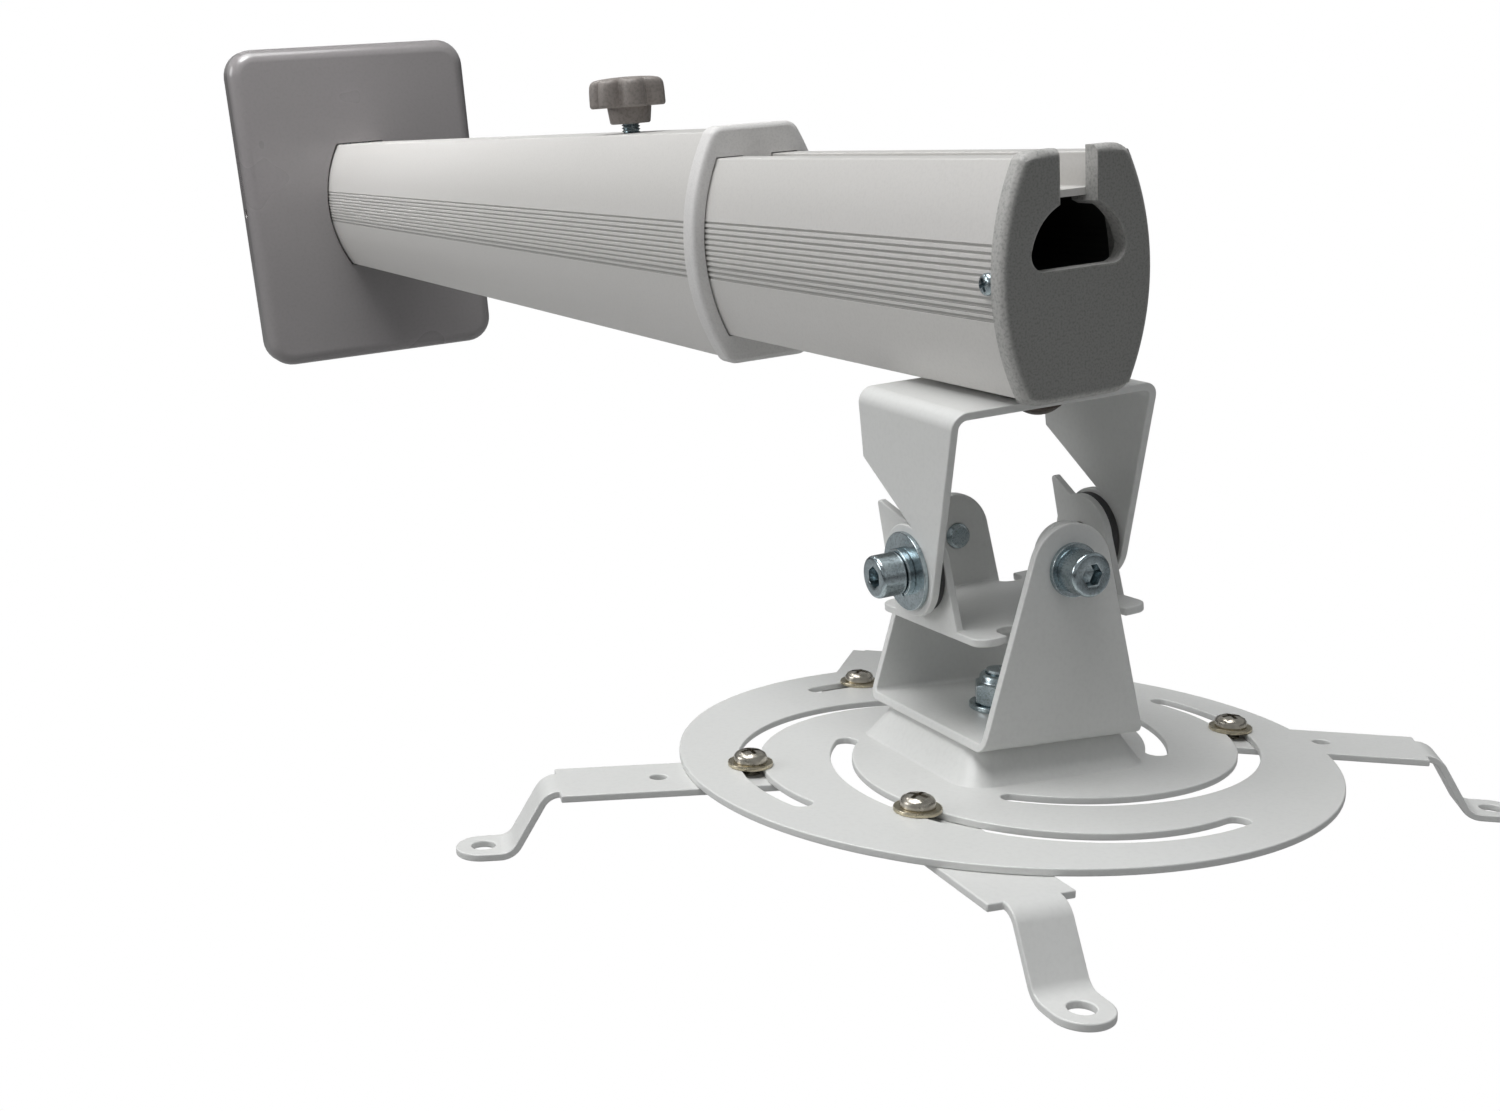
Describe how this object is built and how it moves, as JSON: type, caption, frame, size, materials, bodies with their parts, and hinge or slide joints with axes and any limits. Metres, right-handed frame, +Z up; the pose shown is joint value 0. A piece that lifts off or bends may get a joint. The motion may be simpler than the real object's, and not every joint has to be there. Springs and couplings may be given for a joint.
{
  "type": "telescopic projector wall arm",
  "caption": "Telescopic arm fixed to a wall with a clamped sliding tube, a swivelling and tilting yoke head and a slotted disc with adjustable legs that carry a projector.",
  "frame": {"origin": "centre of the wall bolt pattern on the back face of the wall plate", "axes": "+Z up, +Y into the wall, so the arm reaches towards -Y; +X to the right as seen from the free end looking at the wall"},
  "size_m": [0.313, 0.9077, 0.2969],
  "materials": {
    "bracket_steel": "zinc plated",
    "cover_plastic": "smooth moulded, light grey",
    "tube_paint": "silver-white powder coat",
    "collar_plastic": "fine-grained, light grey",
    "sheet_paint": "smooth light grey powder coat",
    "cap_plastic": "fine-grained dark grey",
    "knob_plastic": "satin brown-grey",
    "nylon": "natural nylon",
    "zinc_bolt": "blue zinc plated",
    "dark_bolt": "dark",
    "friction_fibre": "dark fibre",
    "yellow_zinc": "yellow zinc plated"
  },
  "bodies": {
    "wall_side": {"wall_bracket": "bracket_steel", "wall_cover": "cover_plastic", "cover_screws": "dark_bolt", "tube_screws": "zinc_bolt", "outer_tube": "tube_paint", "collar": "collar_plastic", "collar_screws": "zinc_bolt", "clamp_nut": "zinc_bolt"},
    "arm": {"inner_tube": "tube_paint", "rear_guide": "nylon", "guide_screws": "zinc_bolt", "end_cap": "cap_plastic", "cap_screws": "zinc_bolt", "swivel_bolt": "dark_bolt", "swivel_nut": "zinc_bolt", "swivel_nut_washer": "zinc_bolt", "swivel_washer": "friction_fibre"},
    "shoe": {"clamp_shoe": "nylon"},
    "knob": {"clamp_knob": "knob_plastic", "clamp_stud": "zinc_bolt"},
    "head": {"upper_yoke": "sheet_paint"},
    "cross": {"cross_piece": "sheet_paint", "tilt_bolt_left": "zinc_bolt", "tilt_bolt_right": "dark_bolt", "tilt_washer": "zinc_bolt", "spring_washer": "zinc_bolt", "tilt_spacers": "friction_fibre", "roll_bolt_front": "zinc_bolt", "roll_bolt_back": "zinc_bolt", "roll_washers": "zinc_bolt"},
    "cradle": {"lower_yoke": "sheet_paint", "disc_bolt": "zinc_bolt", "disc_nut": "zinc_bolt", "disc_washer": "zinc_bolt"},
    "disc": {"disc_plate": "sheet_paint"},
    "slider_front": {"leg_screw_front": "yellow_zinc", "leg_washer_front": "yellow_zinc"},
    "leg_front": {"leg_front": "sheet_paint"},
    "slider_right": {"leg_screw_right": "yellow_zinc", "leg_washer_right": "yellow_zinc"},
    "leg_right": {"leg_right": "sheet_paint"},
    "slider_back": {"leg_screw_back": "yellow_zinc", "leg_washer_back": "yellow_zinc"},
    "leg_back": {"leg_back_side": "sheet_paint"},
    "slider_left": {"leg_screw_left": "yellow_zinc", "leg_washer_left": "yellow_zinc"},
    "leg_left": {"leg_left": "sheet_paint"}
  },
  "joints": [
    {"name": "telescope", "type": "slide", "parent": "wall_side", "child": "arm", "axis": [0, -1, 0], "range_m": [-0.1, 0.23]},
    {"name": "clamp_lift", "type": "slide", "parent": "wall_side", "child": "shoe", "axis": [0, 0, 1], "range_m": [0, 0.0025]},
    {"name": "knob_turn", "type": "hinge", "parent": "shoe", "child": "knob", "pos_m": [0, -0.515, 0.05], "axis": [0, 0, 1], "range_deg": [0, 720]},
    {"name": "yoke_swivel", "type": "hinge", "parent": "arm", "child": "head", "pos_m": [0, -0.795, -0.0346], "axis": [0, 0, 1], "continuous": true},
    {"name": "tilt", "type": "hinge", "parent": "head", "child": "cross", "pos_m": [0.00094, -0.77702, -0.0865], "axis": [0.9986, -0.0523, 0], "range_deg": [-16, 24]},
    {"name": "roll", "type": "hinge", "parent": "cross", "child": "cradle", "pos_m": [0.00094, -0.77702, -0.0865], "axis": [0.0522, 0.9962, -0.0698], "range_deg": [-26.5, 13.5]},
    {"name": "disc_turn", "type": "hinge", "parent": "cradle", "child": "disc", "pos_m": [-0.00635, -0.78098, -0.14847], "axis": [0.1167, 0.0633, 0.9912], "continuous": true},
    {"name": "leg_travel_front", "type": "hinge", "parent": "disc", "child": "slider_front", "pos_m": [-0.00101, -0.80026, -0.14786], "axis": [0.1167, 0.0633, 0.9912], "range_deg": [-29.27, 84.89]},
    {"name": "leg_swing_front", "type": "hinge", "parent": "slider_front", "child": "leg_front", "pos_m": [-0.06172, -0.81879, -0.13953], "axis": [0.1167, 0.0633, 0.9912], "range_deg": [-45, 45]},
    {"name": "leg_travel_right", "type": "hinge", "parent": "disc", "child": "slider_right", "pos_m": [0.01279, -0.77576, -0.15105], "axis": [0.1167, 0.0633, 0.9912], "range_deg": [-81.96, 32.2]},
    {"name": "leg_swing_right", "type": "hinge", "parent": "slider_right", "child": "leg_right", "pos_m": [0.07253, -0.79808, -0.15666], "axis": [0.1167, 0.0633, 0.9912], "range_deg": [-45, 45]},
    {"name": "leg_travel_back", "type": "hinge", "parent": "disc", "child": "slider_back", "pos_m": [-0.01169, -0.7617, -0.14907], "axis": [0.1167, 0.0633, 0.9912], "range_deg": [-76.11, 16.1]},
    {"name": "leg_swing_back", "type": "hinge", "parent": "slider_back", "child": "leg_back", "pos_m": [-0.00734, -0.698, -0.15365], "axis": [0.1167, 0.0633, 0.9912], "range_deg": [-45, 45]},
    {"name": "leg_travel_left", "type": "hinge", "parent": "disc", "child": "slider_left", "pos_m": [-0.0255, -0.7862, -0.14588], "axis": [0.1167, 0.0633, 0.9912], "range_deg": [-60.01, 21.95]},
    {"name": "leg_swing_left", "type": "hinge", "parent": "slider_left", "child": "leg_left", "pos_m": [-0.08523, -0.76388, -0.14027], "axis": [0.1167, 0.0633, 0.9912], "range_deg": [-45, 45]}
  ],
  "couplings": [
    {"joint": "knob_turn", "follows": "clamp_lift", "rad_per_m": 5026.5}
  ]
}
